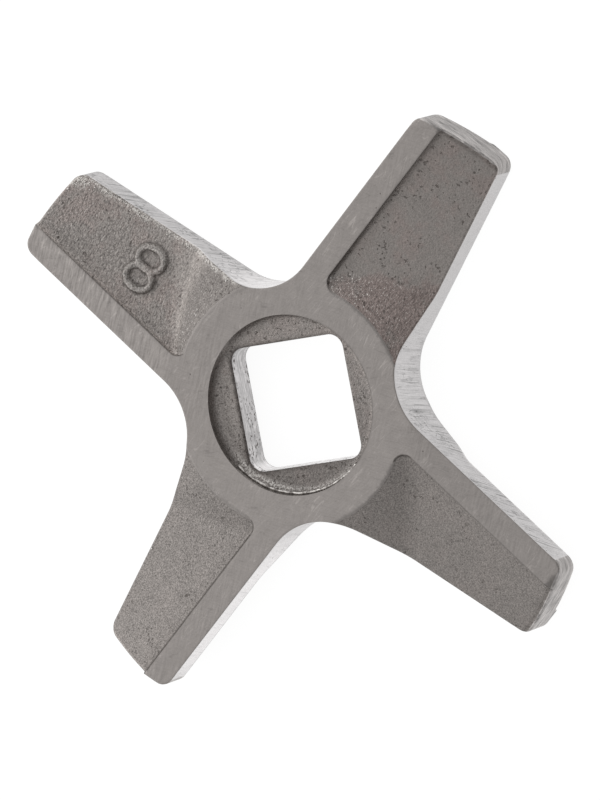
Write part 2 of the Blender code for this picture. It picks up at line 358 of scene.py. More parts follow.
def faceHeights(points, marked):  # depth below the ground face, and what the finish needs to know
    index, depth, edge, share, down, inCorner, steep, across = pocketFields(points)
    wear = {name: np.array(values)[index] for name, values in bladeWear.items()}
    gap, station = nearOutline(points)
    fromBore = outsideBore(points)
    recess, insideRecess = recessDepth(points)
    rise, stroke = numeralRise(points)
    radius, bearing = np.linalg.norm(points, axis=1), np.arctan2(points[:, 1], points[:, 0])
    fromRing, tipGap = radius - hubRadius, tipRadius - radius
    inRecess = insideRecess > 0.01
    onBlade = np.where(inRecess, 0.0, 1.0)
    onFlank, inPocket = ease(1.45, 0.8, down), ease(0.0, 0.15, edge)
    onMark = marked & (index == numeral["blade"])
    rise = rise * onMark
    fromMark = stroke - numeral["stroke"]
    ragged = tipGap + tipLip["waver"] * waver(points, 0.9, 3)
    lip = wear["lip"] * inPocket * ease(tipLip["run"], 0.1, ragged)
    worn = np.maximum(wear["tipBevel"] * across - ragged, 0) * (fromRing > 0)
    bevel = (1 - inPocket) * worn * 0.5
    drop = roundDrop(gap, rimRounds[station]) + roundDrop(fromBore, edgeRounds["bore"])
    height = np.maximum(depth, 0) - lip + bevel - rise + recess + drop

    begin = 0.09 + (wear["fade"] - 0.09) * (1 - steep)
    cast = np.where(inRecess, 1.0, ease(0.0, 1.0, edge / begin))
    turnedLip = ease(0.26, 0.14, ragged) * ease(0.08, 0.1, wear["lip"])
    lipFoot = inPocket * ease(0.34, 0.03, np.abs(ragged - tipLip["run"])) * ease(0.1, 0.105, wear["lip"])
    # painted highlight along the tip's rim, and painted light and shade at the flank's foot and on the step
    glint = ease(0.3, 0.12, ragged) * (wear["lip"] < 0.105) * inPocket
    glow = wear["footGlow"] * (ease(0.5, 0.1, np.abs(down - 1.05)) - 1.6 * ease(0.95, 0.6, down))
    numeralTop = rise > numeral["height"] / 2
    pocketTone = wear["tone"] * (1 - 0.05 * numeralTop + 0.35 * glint + glow)
    rusty = 0.08 * (wear["flankRust"] > 0.5) * ease(0.5, 1, share)
    pocketTone *= 1 + (wear["flankTone"] - 1 - rusty) * onFlank
    pocketTone *= 1 + wear["stepGlow"] * steep * ease(0.34, 0.1, edge)
    # painted shade on the land: darker where it meets the pocket and on the step's wall, and a little darker
    # towards one bearing
    landTone = 1 + (wear["groundTone"] - 1) * ease(0, 2, fromRing) - 0.2 * (bevel > 0.01)
    landTone -= 0.24 * ease(-0.12, 0.03, edge) + 0.025 * (1 + np.cos(bearing - 0.9))
    # painted light and shade: the recess lighter towards one side and darker towards another, by bearing
    recessTone = 0.94 + 0.19 * np.cos(bearing) ** 2 - 0.126 * np.cos(bearing) + 0.158 * np.sin(bearing)

    beside = np.maximum(ease(1.9, 0.4, edge), ease(2.4, 0.8, tipGap))
    farBand = ease(0.42, 0.12, gap + 0.1 * waver(points, 0.9, 4)) * ease(0.62, 0.8, share)
    farBand = farBand * (0.85 + 0.15 * ease(9, 5, tipGap))
    tipCorner = ease(1.9, 0.7, np.hypot(gap, tipGap) + 0.3 * waver(points, 1.4, 5)) * ease(0.72, 0.9, share)
    shore = 0.45 + 0.5 * ease(0.5, 0.2, np.abs(bearing + 2.2))
    shore = shore * ease(0.42, 0.1, np.abs(insideRecess - 0.3)) * ease(1.0, 0.7, np.abs(bearing + 1.85))
    crumbed = np.maximum(farBand, tipCorner) * wear["crumbs"] * onBlade
    crumbed = np.maximum(crumbed * ease(0.15, 0.4, depth), shore * (1 - onBlade)) * cast
    grain = wear["grain"] + (wear["flankGrain"] - wear["grain"]) * onFlank
    rust = wear["rust"] + (wear["flankRust"] - wear["rust"]) * onFlank
    onStep = ease(0.02, 0.1, edge) * steep * wear["foot"]
    foldShades = [  # painted shade in the folds of a blade, with some dirt
        ease(0.5, 0.15, edge) * onStep,
        ease(1.3, 0.2, edge) * onStep * 0.6,
        ease(0.07, 0.02, np.abs(edge)) * steep * wear["line"] * (fromRing > 0),
        ease(0.09, 0.03, np.abs(edge)) * inCorner * wear["cornerShade"],
        lipFoot * 0.5,
        ease(0.13, 0.02, np.abs(fromMark - 0.02)) * onMark * 0.4,
        ease(0.12, 0.04, gap) * (share > 0.8) * ease(9, 4, tipGap) * onMark * 0.35,
    ]
    hubShades = [  # painted shade in those of the recess and round the hole, the rims' shade heavier on one side
        ease(0.4, 0.1, insideRecess) * (1 - onBlade) * 0.22,
        ease(0.1, 0.03, np.abs(insideRecess - 0.03)) * np.maximum(np.cos(bearing), 0) * 0.5,
        ease(0.3, 0.16, fromBore) * (0.42 - 0.34 * np.cos(bearing)),
    ]
    fields = {
        "cast": cast,
        "free": cast * ease(0.05, 0.3, gap) * ease(0.3, 0.6, fromBore),
        "grain": grain * (1 - 0.15 * (rise > 0.02)) * cast,
        "speckle": wear["speckle"],
        "pits": wear["pits"] * (0.45 + 0.55 * beside),
        "rust": rust * ease(-0.3, 0.4, share),
        "tone": np.where(inRecess, recessTone, landTone + (pocketTone - landTone) * cast),
        # painted shade, with some dirt, in the folds, in the recess and round the hole
        "creaseShade": np.maximum.reduce([creaseShade * onBlade for creaseShade in foldShades] + hubShades),
        "strokes": wear["strokes"] * (1 - cast) * (0.3 + 0.7 * ease(0.5, 2.5, fromRing)),
        "turned": turnedLip * onBlade,
        "flank": onFlank * cast * onBlade * wear["sparks"] * (0.3 + 0.7 * ease(0.8, 0.25, share)),
        "crumbs": np.maximum(crumbed, 0.4 * (rise > 0.12)),
        "sown": crumbed * marked * ease(0.08, 0.16, gap) * onBlade,
    }
    for name, value in recessLook.items():
        fields[name] = np.where(inRecess, value, fields[name])
    return height, fields


print("outline:", len(outline), "stations")


def featureRows():  # rows of points that follow each fold and foot
    form, fine = castingForm, castingMesh
    rows = []
    tips = tipShare > 0.5
    for i in range(4):
        rows.append((outline + inward * fine["tipRow"])[tips & (outlineBlade == i)])
    single = []
    along = np.arange(cornerCentre[0] + 0.05, tipRadius, fine["footStep"])
    middle = landInner - fine["stepRun"] / 2
    for y in (landInner + 0.12, landInner, middle, stepFoot, stepFoot - 0.08, stepFoot - 0.2):
        single.append(np.stack([along, np.full(len(along), y)], 1))
    bearings = (quarter, math.pi + cornerBearing)
    for inner in (-0.12, 0.0, 0.04, 0.12, 0.3):
        radius = form["pocketCornerRadius"] - inner
        single.append(arcPoints(cornerCentre, radius, *bearings, fine["cornerStep"]))
    for out in (0.0, 0.18):
        ring = arcPoints((0, 0), hubRadius + out, cornerBearing - 0.012, -quarter / 2, fine["surfaceStep"])
        single.append(ring)
    for i in range(4):
        rows += [turned(points, quarter * (i + 0.5) - taper / 2) for points in single]
    turn = [1 - math.cos(math.radians(angle)) for angle in (15, 30, 45, 60, 75, 90)]
    inside = [-0.15, 0.0, fine["recessRun"]] + [fine["recessRun"] + form["recessFillet"] * t for t in turn]
    step = math.tau * recessRadius / fine["recessStations"]
    for depth in inside:
        rows.append(arcPoints((0, 0), recessRadius - depth, 0, math.tau, step))
    return rows


def clearPieces(row):  # the stretches of a row that lie clear of the rims
    gap, station = nearOutline(row)
    clear = gap > rimRounds[station] + castingMesh["rimClear"]
    keep = clear & (outsideBore(row) > edgeRounds["bore"] * castingMesh["boreCollar"] + 0.08)
    pieces, piece = [], []
    for point, kept in zip(row, keep):
        if kept:
            piece.append(point)
        elif piece:
            pieces.append(piece)
            piece = []
    pieces.append(piece)
    return [np.array(piece) for piece in pieces if len(piece) > 1]


def boreLoop(out):  # the hole's outline, set back into the metal
    form = castingForm
    half, corner = form["boreSide"] / 2 - form["boreCornerRadius"], form["boreCornerRadius"]
    arc = arcPoints((half, half), corner, 0, quarter, castingMesh["cornerStep"] * 1.6)
    arc = (arc - half) * (corner + out) / corner + half
    straight = round(2 * half / castingMesh["outlineStep"])
    share = np.arange(1, straight)[:, None] / straight
    side = arc[-1] + (np.array([-half, arc[-1][1]]) - arc[-1]) * share
    return np.concatenate([turned(np.concatenate([arc, side]), i * quarter) for i in range(4)])


def scattered(step, low, high, random):  # a close-packed field of points, each a little out of place
    rows = np.arange(low[1], high[1], step * math.sqrt(3) / 2)
    columns = np.arange(low[0], high[0], step)
    x = columns[None] + (np.arange(len(rows)) % 2)[:, None] * step / 2
    points = np.stack([x, np.broadcast_to(rows[:, None], x.shape)], 2).reshape(-1, 2)
    jitter = castingMesh["jitter"]
    return points + random.uniform(-jitter, jitter, points.shape) * step


def thinned(points, taken, reach):  # leaves out the points that lie close to one of the rows
    cells = set()
    for cell in np.floor(taken / reach).astype(int):
        cells.update((cell[0] + i, cell[1] + j) for i in (-1, 0, 1) for j in (-1, 0, 1))
    keep = [tuple(cell) not in cells for cell in np.floor(points / reach).astype(int)]
    return points[np.array(keep)]


def fieldPoints(marked, taken):  # the points between the rows, closer together about the numeral
    fine = castingMesh
    random = np.random.default_rng(fine["seed"])
    field = scattered(fine["surfaceStep"], (-tipRadius,) * 2, (tipRadius,) * 2, random)
    onMetal = outsideBore(field) > edgeRounds["bore"] * 1.7
    field = field[(np.linalg.norm(field, axis=1) < tipRadius) & onMetal]
    if marked:
        field = field[numeralRise(field)[1] > numeral["stroke"] + 0.12]
        middle = turned(np.array(numeral["rings"]).mean(0)[None], quarter * (numeral["blade"] + 0.5))[0]
        reach = fine["numeralReach"]
        close = scattered(fine["numeralStep"], middle - reach, middle + reach, random)
        field = np.concatenate([field, close[numeralRise(close)[1] < numeral["stroke"] + 0.06]])
    gap, station = nearOutline(field)
    field = field[gap > rimRounds[station] + fine["rimCollar"] * 1.5]
    return thinned(field, taken, fine["surfaceStep"] * fine["closest"])


def planSheet(marked):  # one face in plan: points, triangles, rim and hole stations
    fine = castingMesh
    boreRim = boreLoop(0.0)
    loops = [(outline, True), (boreRim, True)]
    loops += [(outline + inward * (rimRounds * share)[:, None], True) for share in fine["rimShares"]]
    loops.append((outline + inward * (rimRounds + fine["rimCollar"])[:, None], True))
    boreShares = (*fine["rimShares"], fine["boreCollar"])
    loops += [(boreLoop(edgeRounds["bore"] * share), True) for share in boreShares]
    loops += [(piece, False) for row in featureRows() for piece in clearPieces(row)]
    taken = np.concatenate([points for points, closed in loops])
    points = np.concatenate([taken, fieldPoints(marked, taken)])
    borders, start = [], 0
    for row, closed in loops:
        borders += [(start + i, start + i + 1) for i in range(len(row) - 1)]
        if closed:
            borders.append((start + len(row) - 1, start))
        start += len(row)
    plan = [Vector(point) for point in points.tolist()]
    made, _, faces, sources, _, _ = delaunay_2d_cdt(plan, borders, [], 0, 1e-5)
    made = np.array([(v.x, v.y) for v in made])
    place = {old: new for new, olds in enumerate(sources) for old in olds}
    rim = [place[i] for i in range(len(outline))]
    hole = [place[i] for i in range(len(outline), len(outline) + len(boreRim))]
    faces = np.array(faces)
    centres = made[faces].mean(1)
    inside = (nearOutline(centres)[0] > 0) & (outsideBore(centres) > 0)
    return made, faces[inside], rim, hole


def knifeShell():  # both faces, the long edges, crotches and tips, and the hole's walls
    verts, faces, zones, fields, sheets = [], [], [], {}, []
    for lower in (False, True):
        plan, triangles, rim, hole = planSheet(not lower)
        depth, found = faceHeights(plan, not lower)
        base = sum(len(part) for part in verts)
        flat, level = (plan[:, ::-1], depth) if lower else (plan, thickness - depth)
        verts.append(np.column_stack([flat, level]))
        faces += [tuple(base + i for i in face) for face in triangles]
        zones += [faceZone] * len(triangles)
        for name, values in found.items():
            fields.setdefault(name, []).append(values)
        sheets.append({"base": base, "place": verts[-1], "rim": rim, "hole": hole})
    print("faces:", [len(sheet["place"]) for sheet in sheets], "points")
    above, below = sheets
    for loop, rows in (("rim", castingMesh["wallRows"]), ("hole", castingMesh["boreRows"])):
        count = len(above[loop])
        upper = above["place"][above[loop]]
        top = [above["base"] + i for i in above[loop]]
        low = {tuple(np.round(below["place"][i][:2], 4)): i for i in below[loop]}
        met = [low[tuple(np.round(point[:2], 4))] for point in upper]
        lower = below["place"][met]
        rings = [top]
        for row in range(1, rows):
            base = sum(len(part) for part in verts)
            verts.append(upper + (lower - upper) * row / rows)
            for name in fields:
                known = loop == "rim" and name in outlineLooks
                fields[name].append(outlineLooks[name] if known else np.zeros(count))
            rings.append(list(range(base, base + count)))
        rings.append([below["base"] + i for i in met])
        if loop == "rim":
            stations = {vert: i for ring in rings for i, vert in enumerate(ring)}
            finish = np.where(turnedTip & np.roll(turnedTip, -1), tipZone, edgeZone).tolist()
        else:
            finish = [boreZone] * count
        for over, under in zip(rings, rings[1:]):
            for i in range(count):
                j = (i + 1) % count
                faces.append((over[i], under[i], under[j], over[j]))
            zones += finish
    placed = np.clip(np.concatenate(verts) * mm, knifeLow, knifeHigh)
    return placed, faces, zones, {name: np.concatenate(parts) for name, parts in fields.items()}, stations


def wallPlaces(verts, face, stations):  # by corner of a wall's face: how far round it lies, and how high
    road = [outlineRoad[stations[vert]] for vert in face]
    whole = outlineRoad[-1]
    road = [value + (whole if max(road) - value > whole / 2 else 0) for value in road]
    heights = [verts[vert][2] / mm for vert in face]
    slants = [outlineLooks["slant"][stations[vert]] for vert in face]
    return [(value - slant * height, height, 0.0) for value, slant, height in zip(road, slants, heights)]


def linked(name, data):  # a new object in the scene
    made = bpy.data.objects.new(name, data)
    bpy.context.scene.collection.objects.link(made)
    return made


def meshObject(name, verts, faces):
    mesh = bpy.data.meshes.new(name)
    mesh.from_pydata(verts.tolist(), [], faces)
    return linked(name, mesh)


def buildCasting():
    verts, faces, zones, fields, stations = knifeShell()
    casting = meshObject("castingSheets", verts, faces)
    mesh = casting.data
    for name, values in fields.items():
        mesh.attributes.new(name, "FLOAT", "POINT").data.foreach_set("value", values.astype(np.float32))
    mesh.attributes.new("zone", "INT", "FACE").data.foreach_set("value", np.array(zones, np.int32))
    bm = bmesh.new()
    bm.from_mesh(mesh)
    bmesh.ops.recalc_face_normals(bm, faces=bm.faces)
    loose = sum(not edge.is_manifold for edge in bm.edges)
    bm.to_mesh(mesh)
    bm.free()
    places = []
    for face, zone in zip(mesh.polygons, zones):
        corners, onWall = face.vertices, zone in (edgeZone, tipZone)
        places += wallPlaces(verts, corners, stations) if onWall else [(0.0, 0.0, 0.0)] * len(corners)
    wallPlace = mesh.attributes.new("wallPlace", "FLOAT_VECTOR", "CORNER")
    wallPlace.data.foreach_set("vector", np.array(places, np.float32).ravel())
    mesh.shade_smooth()
    mesh.validate()
    print("casting:", sum(len(face) - 2 for face in faces), "triangles,", loose, "open edges")
    return casting


casting = buildCasting()


# Node trees, for materials, for the world and for Geometry Nodes


def pick(sockets, key):  # a socket by number, or the live one of that name
    if isinstance(key, int):
        return sockets[key]
    return next(socket for socket in sockets if socket.name == key and socket.enabled)


def opaque(colour):
    return (*colour, 1) if isinstance(colour, tuple) else colour


class Wire:  # an output socket that can stand in sums
    def __init__(self, graph, socket):
        self.graph, self.socket = graph, socket

    def __add__(self, other):
        return self.graph.math("ADD", self, other)

    def __sub__(self, other):
        return self.graph.math("SUBTRACT", self, other)

    def __rsub__(self, other):
        return self.graph.math("SUBTRACT", other, self)

    def __mul__(self, other):
        return self.graph.math("MULTIPLY", self, other)

    def span(self, start, stop, smooth=True):  # from 0 at the first value to 1 at the second
        kind = "SMOOTHSTEP" if smooth else "LINEAR"
        return self.graph.node("ShaderNodeMapRange", {"interpolation_type": kind},
                               {"Value": self, "From Min": start, "From Max": stop})

    __radd__ = __add__
    __rmul__ = __mul__


class Graph:  # the nodes of one tree
    def __init__(self, tree):
        self.tree = tree

    def node(self, kind, settings=None, values=None, output=0):
        made = self.tree.nodes.new(kind)
        for name, value in (settings or {}).items():
            setattr(made, name, value)
        for key, value in (values or {}).items():
            socket = pick(made.inputs, key)
            if isinstance(value, Wire):
                self.tree.links.new(value.socket, socket)
            else:
                socket.default_value = value
        return Wire(self, pick(made.outputs, output)) if made.outputs else None

    def math(self, operation, *values):
        return self.node("ShaderNodeMath", {"operation": operation}, dict(enumerate(values)))

    def vector(self, operation, values, output=0):
        return self.node("ShaderNodeVectorMath", {"operation": operation}, values, output)

    def scaled(self, vector, amount):
        return self.vector("SCALE", {0: vector, "Scale": amount})

    def noise(self, vector, scale, detail, rough=0.5, offset=0.0, output="Fac"):
        values = {"Vector": vector, "W": offset, "Scale": scale, "Detail": detail, "Roughness": rough}
        return self.node("ShaderNodeTexNoise", {"noise_dimensions": "4D"}, values, output)


class Surface(Graph):  # the nodes of a material or a world
    def __init__(self, owner):
        owner.use_nodes = True
        super().__init__(owner.node_tree)
        self.owner = owner
        self.tree.nodes.clear()

    def end(self, shader, kind="ShaderNodeOutputMaterial"):
        self.node(kind, {}, {"Surface": shader})
        return self.owner


class Finish(Surface):  # one of the knife's materials, its patterns in millimetres
    def __init__(self, name):
        super().__init__(bpy.data.materials.new(name))
        self.place = self.scaled(self.node("ShaderNodeTexCoord", output="Object"), 1 / mm)

    def field(self, name, output="Fac"):
        return self.node("ShaderNodeAttribute", {"attribute_name": name}, output=output)

    def stretched(self, vector, factors):
        return self.vector("MULTIPLY", {0: vector, 1: factors})

    def swung(self, degrees, factors):  # the place, turned about the axis and then stretched
        return self.node("ShaderNodeMapping", {"vector_type": "TEXTURE"},
                         {"Vector": self.place, "Rotation": (0, 0, math.radians(degrees)),
                          "Scale": tuple(1 / factor for factor in factors)})

    def grain(self, scale, detail=2.0, rough=0.5, vector=None, offset=0.0):
        return self.noise(vector or self.place, scale, detail, rough, offset)

    def bent(self, vector, scale, reach):  # the same place, pushed about by a coarse noise
        values = {"Vector": vector, "Scale": scale, "Detail": 1.0}
        push = self.node("ShaderNodeTexNoise", {}, values, "Color")
        return self.vector("MULTIPLY_ADD", {0: push, 1: (reach,) * 3, 2: vector})

    def cells(self, scale):
        values = {"Vector": self.place, "Scale": scale}
        return self.node("ShaderNodeTexVoronoi", {"feature": "F1"}, values, "Distance")

    def mix(self, share, a, b):  # of two colours
        values = {"Factor": share, "A": opaque(a), "B": opaque(b)}
        return self.node("ShaderNodeMix", {"data_type": "RGBA"}, values, "Result")

    def blend(self, share, a, b):  # of two numbers
        values = {"Factor": share, "A": a, "B": b}
        return self.node("ShaderNodeMix", {"data_type": "FLOAT"}, values, "Result")

    def close(self, colour, roughness, metallic, height):
        bump = self.node("ShaderNodeBump", {}, {"Strength": 1.0, "Distance": mm, "Height": height})
        values = {"Base Color": colour, "Roughness": roughness, "Metallic": metallic, "Normal": bump}
        return self.end(self.node("ShaderNodeBsdfPrincipled", {}, values))


steel = {  # colours as light amounts, not as screen values
    "ground": (0.345, 0.319, 0.304),
    "cast": (0.277, 0.255, 0.241),
    "rust": (0.270, 0.221, 0.207),
    "shadeGrime": (0.060, 0.051, 0.046),
    # the colour of the painted shade in folds, hollows and rims, with some dirt
    "bright": (0.72, 0.69, 0.66),
    "glint": (0.90, 0.87, 0.83),
    "edge": (0.60, 0.585, 0.585),
    "turned": (0.40, 0.38, 0.37),
    "pit": (0.085, 0.072, 0.065),
}

# Each surface is its colour, roughness and height, the height in millimetres


def hairlines(f, vector, thin, offset):  # fine lines, where a noise drawn out along them crosses its middle
    noise = f.grain(1.0, 1, 0.5, vector, offset) - 0.5
    return f.math("ABSOLUTE", noise).span(thin, thin * 0.3)


def groundSurface(f):  # grinding lines in three directions, faint clouds, a few dark pits
    lines = f.grain(1.0, 3, 0.7, f.swung(30, (0.9, 6.5, 1))) - 0.5
    cross = f.grain(1.0, 3, 0.7, f.swung(64, (0.5, 5, 1)), 3.0) - 0.5
    fine = f.grain(1.0, 2, 0.7, f.swung(-24, (0.7, 8, 1)), 7.0) - 0.5
    here, there = (f.grain(0.3, 2, offset=place).span(0.42, 0.58) for place in (31.0, 37.0))
    clouds = f.grain(0.6, 4, 0.65, offset=5.0)
    scratch = hairlines(f, f.swung(38, (0.2, 1.6, 1)), 0.014, 11.0) * clouds.span(0.48, 0.6)
    nick = hairlines(f, f.swung(-8, (0.25, 1.3, 1)), 0.01, 19.0) * clouds.span(0.52, 0.4)
    across = cross * (f.field("strokes") * 1.2 + there * 0.4)
    mark = lines * (0.16 + here * 0.26) + across + fine * (0.32 - there * 0.2)
    speck = f.cells(1.1).span(0.1, 0.05) * f.grain(0.5, 1, offset=2.0).span(0.56, 0.66)
    dust = f.grain(7.0, 2, 0.6, offset=41.0) - 0.5
    tone = 0.93 + mark + (clouds - 0.5) * 0.28 + dust * 0.25 + scratch * 0.2 - nick * 0.12
    colour = f.mix(speck * 0.7, f.scaled(steel["ground"], tone * f.field("tone")), steel["pit"])
    return colour, 0.47 + lines * 0.15, mark * 0.02 - speck * 0.02 - scratch * 0.004


def castSurface(f):  # sand-cast skin: grains, red-brown clouds, pits, and painted glints on grains and crumbs
    grain, flank, crumbs, rust = (f.field(name) for name in ("grain", "flank", "crumbs", "rust"))
    coarse = f.grain(2.0, 2, 0.6, offset=1.0) - 0.5
    sand = f.grain(1.0, 2, 0.65, f.swung(52, (3.3, 8.2, 6.0)), 4.0) - 0.5
    fine = f.grain(9.0, 2, 0.6, offset=21.0) - 0.5
    pebbles = 0.5 - f.cells(5.2)
    clouds = f.grain(0.42, 3, 0.6, offset=9.0)
    redness = (clouds + coarse * 0.2 + rust.span(0.5, 0.8) * 0.16).span(0.44, 0.62) * rust
    tone = 1 + sand * (grain * 2.1 + 0.25) + pebbles * grain * 0.15 + fine * f.field("speckle")
    tone = tone + coarse * 0.12 + (clouds - 0.5) * 0.25
    skin = f.scaled(f.mix(redness, steel["cast"], steel["rust"]), tone * f.field("tone"))
    wild = (flank * (clouds + 0.1) + crumbs + grain * 0.4).span(0.05, 1, False)
    spark = f.grain(1.0, 1, 0.5, f.swung(52, (4.6, 14.0, 10.0)), 6.0).span(0.61, 0.7) * wild
    lit = crumbs * f.grain(7.0, 2, offset=26.0).span(0.42, 0.6) * 0.9
    ragged = (f.grain(2.2, 3, 0.7, offset=15.0) - 0.5) * 1.1
    pitted = f.grain(0.5, 1, offset=8.0) + f.field("pits") * 0.2
    pit = (f.cells(1.3) + ragged).span(0.1, -0.06) * pitted.span(0.58, 0.7)
    small = f.grain(3.6, 1, offset=17.0).span(0.62, 0.69) * pitted.span(0.52, 0.66)
    hole = f.math("MAXIMUM", pit, small * 0.8)
    colour = f.mix(f.math("MAXIMUM", spark, lit) * 0.8, skin, steel["glint"])
    height = coarse * 0.03 + sand * (grain * 0.08 + 0.01) + pebbles * grain * 0.03 + fine * 0.014
    return f.mix(hole * 0.75, colour, steel["pit"]), 0.52 - spark * 0.25 + sand * 0.2, height - hole * 0.05


def turnedSurface(f):  # tips: turned to size, so the lines run along the edge
    lines = f.grain(1.0, 3, 0.65, f.stretched(f.bent(f.place, 0.5, 0.25), (0.4, 0.4, 6)), 2.0) - 0.5
    patches = f.grain(1.2, 3, 0.6, f.stretched(f.place, (0.6, 0.6, 1.6)), 5.0) - 0.5
    bright = f.grain(1.0, 1, 0.5, f.stretched(f.place, (0.45, 0.45, 5)), 6.0).span(0.6, 0.68)
    dull = f.grain(1.0, 2, 0.6, f.stretched(f.place, (0.7, 0.7, 3)), 8.0).span(0.5, 0.36)
    tone = 0.97 + lines * 1.1 + patches * 1.7 + bright * 0.5 - dull * 0.25
    return f.scaled(steel["turned"], tone), 0.44 + lines * 0.2, lines * 0.045 + patches * 0.08


def facesMaterial():  # ground ring and lands, cast pockets and recess, by the cast field
    f = Finish("groundAndCastSteel")
    edge = (f.grain(3.0, 2, offset=12.0) - 0.5) * 0.6
    share, worn = ((f.field(name) + edge).span(0.35, 0.65) for name in ("cast", "turned"))
    # painted shade from the crease field, with some dirt, broken up by a noise
    shadeAndDirt = f.field("creaseShade") * (f.grain(2.4, 3, 0.6, offset=13.0).span(0.3, 0.6) * 0.5 + 0.5)
    parts = zip((f.mix, f.blend, f.blend), groundSurface(f), castSurface(f), turnedSurface(f))
    colour, rough, height = (join(worn, join(share, ground, skin), tip) for join, ground, skin, tip in parts)
    return f.close(f.mix(shadeAndDirt, colour, steel["shadeGrime"]), rough, 1.0, height)


def edgeMaterial():  # long edges and crotches: bright, with lines across the thickness
    f = Finish("groundEdgeSteel")
    place, marks = f.field("wallPlace", "Vector"), f.field("grain")
    bend = f.bent(place, 0.5, 0.1)
    lines = f.grain(1.0, 3, 0.75, f.stretched(bend, (7.5, 0.26, 1)), 1.0) - 0.5
    broad = f.grain(1.0, 2, 0.6, f.stretched(bend, (1.2, 0.2, 1)), 4.0) - 0.5
    kinds = (  # of hairline: place, how drawn out, how thin, where in it, and where it shows
        (bend, (2.4, 0.1, 1), 0.03, 9.0, f.grain(0.9, 2, offset=14.0).span(0.36, 0.5)),
        (place, (5.0, 0.5, 1), 0.035, 22.0, f.grain(0.7, 2, offset=24.0).span(0.5, 0.62)),
        (place, (1.6, 1.6, 1), 0.03, 31.0, f.grain(0.35, 1, offset=33.0).span(0.54, 0.62)),
    )
    long, short, crack = (hairlines(f, f.stretched(at, factors), thin, offset) * where
                          for at, factors, thin, offset, where in kinds)
    speckle = f.grain(6.0, 2, 0.6, offset=16.0) - 0.5
    pits = (f.cells(1.6) + lines * 0.3).span(0.12, 0.05) * f.grain(0.6, 1, offset=3.0).span(0.55, 0.63)
    dark = (long * 0.38 + short * 0.26 + crack * 0.4) * marks
    tone = 1 + lines * (marks * 1.05 + 0.2) + broad * marks * 0.25 + speckle * 0.35 - dark
    colour = f.mix(pits * 0.75, f.scaled(steel["edge"], tone * f.field("tone")), steel["pit"])
    return f.close(colour, 0.4 + lines * 0.2, 1.0, lines * 0.03 - dark * 0.02 - pits * 0.03)


def tipMaterial():
    f = Finish("turnedTipSteel")
    colour, rough, height = turnedSurface(f)
    return f.close(f.scaled(colour, f.field("tone")), rough, 1.0, height)


def boreMaterial():  # the hole's walls: cast, then broached lightly, with dark pits
    f = Finish("broachedHoleSteel")
    bend = f.bent(f.place, 1.0, 0.2)
    lines = f.grain(1.0, 3, 0.7, f.stretched(bend, (0.7, 0.7, 4.5)), 2.0) - 0.5
    patches = f.grain(2.4, 3, 0.65, offset=7.0) - 0.5
    pits = f.grain(3.4, 2, 0.5, f.stretched(bend, (1, 1, 1.3)), 11.0).span(0.57, 0.61)
    pits = pits * f.grain(0.5, 1, offset=3.0).span(0.38, 0.48)
    low = f.vector("DOT_PRODUCT", {0: f.place, 1: (0.0, -1.0, 0.0)}, "Value")
    streak = hairlines(f, f.stretched(bend, (0.3, 0.3, 2.4)), 0.05, 5.0)
    tone = 0.84 + lines * 1.1 + patches * 0.7 + streak * 0.25 + low.span(4, 5) * 0.6
    colour = f.mix(pits * 0.85, f.scaled(steel["edge"], tone), steel["pit"])
    return f.close(colour, 0.42 + lines * 0.2, 1.0, lines * 0.04 + patches * 0.03 - pits * 0.06)


finishes = [facesMaterial(), edgeMaterial(), tipMaterial(), boreMaterial()]  # in the order of the zones
print("finishes:", [finish.name for finish in finishes])

relief = {  # how far the cast skin stands off the drawn surface, millimetres
    "Grain Height": 0.011,
    "Grain Scale": 2.0,
    "Wave Height": 0.05,
    "Wave Scale": 0.35,
    "Seed": 8.0,
}


def newTree(name, inputs):
    tree = bpy.data.node_groups.new(name, "GeometryNodeTree")
    for side in ("INPUT", "OUTPUT"):
        tree.interface.new_socket("Geometry", in_out=side, socket_type="NodeSocketGeometry")
    for label, value in inputs.items():
        kind = "NodeSocketInt" if isinstance(value, int) else "NodeSocketFloat"
        tree.interface.new_socket(label, in_out="INPUT", socket_type=kind)
    graph = Graph(tree)
    return graph, {label: graph.node("NodeGroupInput", output=label) for label in ("Geometry", *inputs)}


def closeTree(graph, shape, choices):  # makes the shape real and gives each chosen part its material
    shape = graph.node("GeometryNodeRealizeInstances", {}, {"Geometry": shape})
    for chosen, material in choices:
        values = {"Geometry": shape, "Selection": chosen, "Material": material}
        shape = graph.node("GeometryNodeSetMaterial", {}, values)
    graph.node("NodeGroupOutput", {}, {0: shape})
    return graph.tree


def applied(base, tree, values, name):  # runs a tree on an object and keeps the result as a plain mesh
    modifier = base.modifiers.new(tree.name, "NODES")
    modifier.node_group = tree
    for item in tree.interface.items_tree:
        if item.in_out == "INPUT" and item.name in values:
            modifier[item.identifier] = values[item.name]
    seen = base.evaluated_get(bpy.context.evaluated_depsgraph_get())
    mesh = bpy.data.meshes.new_from_object(seen)
    base.modifiers.remove(modifier)
    mesh.name = name
    return linked(name, mesh)


def named(graph, name, kind="FLOAT"):
    return graph.node("GeometryNodeInputNamedAttribute", {"data_type": kind}, {"Name": name}, "Attribute")


